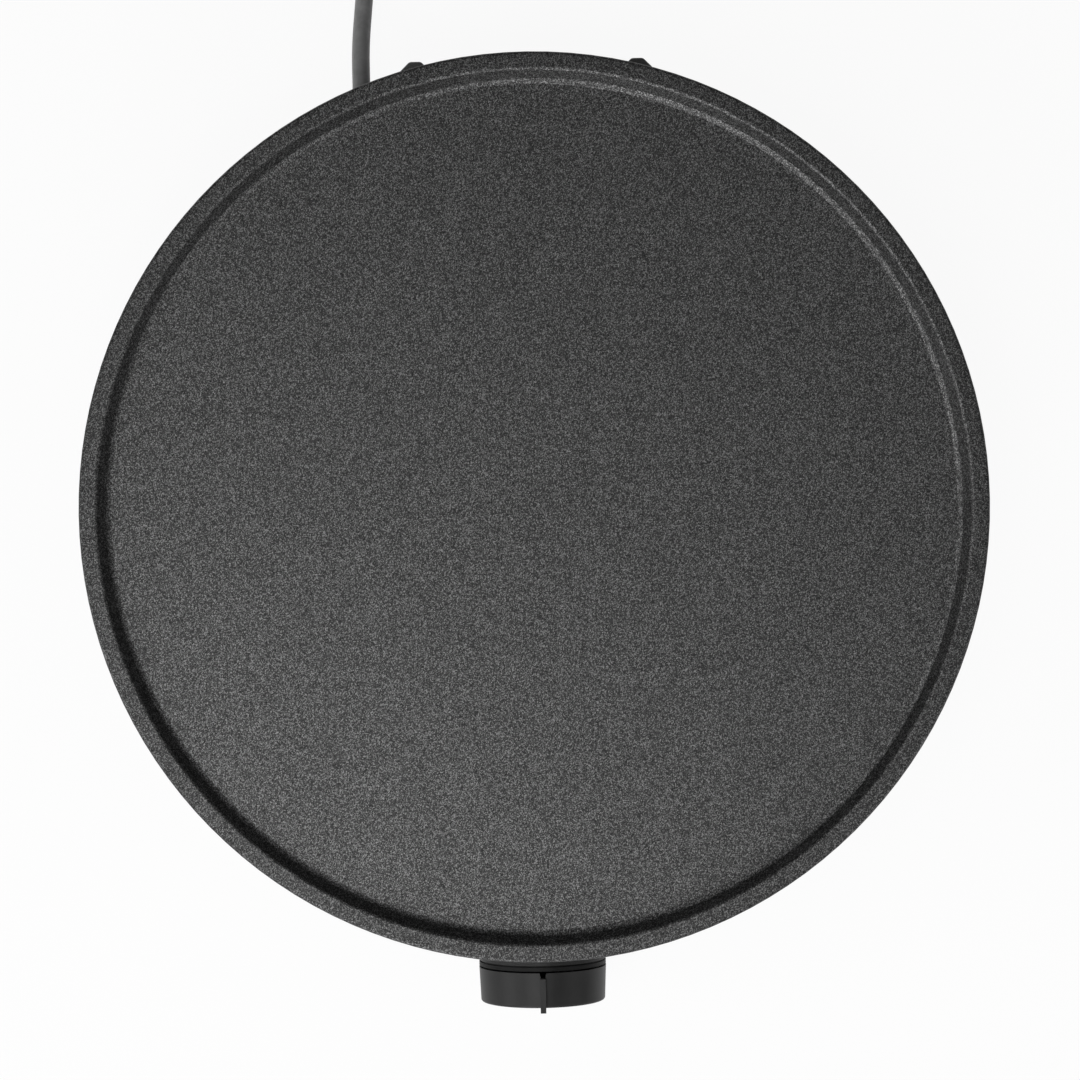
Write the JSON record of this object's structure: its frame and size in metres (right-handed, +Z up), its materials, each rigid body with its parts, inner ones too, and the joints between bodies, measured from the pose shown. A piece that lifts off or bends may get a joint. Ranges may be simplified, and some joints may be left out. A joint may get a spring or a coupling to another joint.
{
  "type": "electric crepe maker",
  "caption": "Round electric crepe maker: raised-rim non-stick griddle on a moulded base, front thermostat knob, rear cord cleats and mains cord with plug.",
  "frame": {"origin": "centre of the cooking surface, on its flat top face", "axes": "+Z up out of the cooking surface, -Y towards the thermostat knob, +Y towards the cord, +X to the right seen from the knob side"},
  "size_m": [0.322, 0.4818, 0.068],
  "materials": {
    "nonstick_plate": "dark speckled non-stick coating on cast aluminium",
    "element_steel": "oxidised steel tube",
    "sheet_aluminium": "bright rolled sheet",
    "ceramic": "fired, unglazed",
    "insulator": "pressed mica board",
    "housing_plastic": "fine spark-eroded texture",
    "foot_rubber": "matt",
    "dial_plastic": "satin",
    "knob_plastic": "satin",
    "screw_steel": "zinc plated",
    "spring_brass": "rolled strip",
    "bimetal_strip": "rolled strip",
    "porcelain": "glazed",
    "lead_sleeve": "silicone sleeve",
    "cord_rubber": "matt sheath",
    "plug_rubber": "moulded",
    "pin_nickel": "nickel plated brass"
  },
  "bodies": {
    "root": {"griddle_plate": "nonstick_plate", "heating_element": "element_steel", "element_seals": "ceramic", "element_terminals": "pin_nickel", "heat_reflector": "sheet_aluminium", "insulating_washers": "insulator", "base_screws": "screw_steel", "base_housing": "housing_plastic", "foot_front_left": "foot_rubber", "foot_front_right": "foot_rubber", "foot_rear_left": "foot_rubber", "foot_rear_right": "foot_rubber", "dial_ring": "dial_plastic", "thermostat_bracket": "sheet_aluminium", "spindle_bush": "spring_brass", "stack_rivet": "screw_steel", "ceramic_spacers": "ceramic", "moving_contact_root": "spring_brass", "fixed_contact_blade": "spring_brass", "bimetal_blade": "bimetal_strip", "earth_tab": "spring_brass", "plate_screws": "screw_steel", "thermal_fuse": "pin_nickel", "fuse_clip": "sheet_aluminium", "terminal_block": "porcelain", "block_screws": "screw_steel", "cord_clamp": "housing_plastic", "clamp_screws": "screw_steel", "cord_inner_end": "cord_rubber", "cord_cores": "lead_sleeve", "live_lead": "lead_sleeve", "neutral_lead": "lead_sleeve", "fused_lead": "lead_sleeve", "switched_lead": "lead_sleeve", "earth_lead": "lead_sleeve", "strain_relief": "cord_rubber", "cord_cleat_left": "housing_plastic", "cord_cleat_right": "housing_plastic", "cleat_screws": "screw_steel", "power_cord": "cord_rubber", "cord_coil": "cord_rubber", "cord_tail": "cord_rubber", "plug_body": "plug_rubber", "plug_pins": "pin_nickel", "plug_earth_clips": "pin_nickel"},
    "knob": {"control_knob": "knob_plastic", "thermostat_spindle": "screw_steel"},
    "adjuster": {"adjuster_pin": "ceramic"},
    "contact": {"moving_contact_arm": "spring_brass"}
  },
  "joints": [
    {"name": "knob_turn", "type": "hinge", "parent": "root", "child": "knob", "pos_m": [0, 0, -0.0315], "axis": [0, 1, 0], "range_deg": [0, 270]},
    {"name": "adjuster_slide", "type": "slide", "parent": "root", "child": "adjuster", "axis": [0, 1, 0], "range_m": [0, 0.0008]},
    {"name": "contact_swing", "type": "hinge", "parent": "root", "child": "contact", "pos_m": [-0.015, -0.09845, -0.0315], "axis": [0, 0, 1], "range_deg": [0, 3.1]}
  ],
  "couplings": [
    {"joint": "adjuster_slide", "follows": "knob_turn", "m_per_rad": 0.0001697},
    {"joint": "contact_swing", "follows": "knob_turn", "ratio": 0.0113}
  ]
}
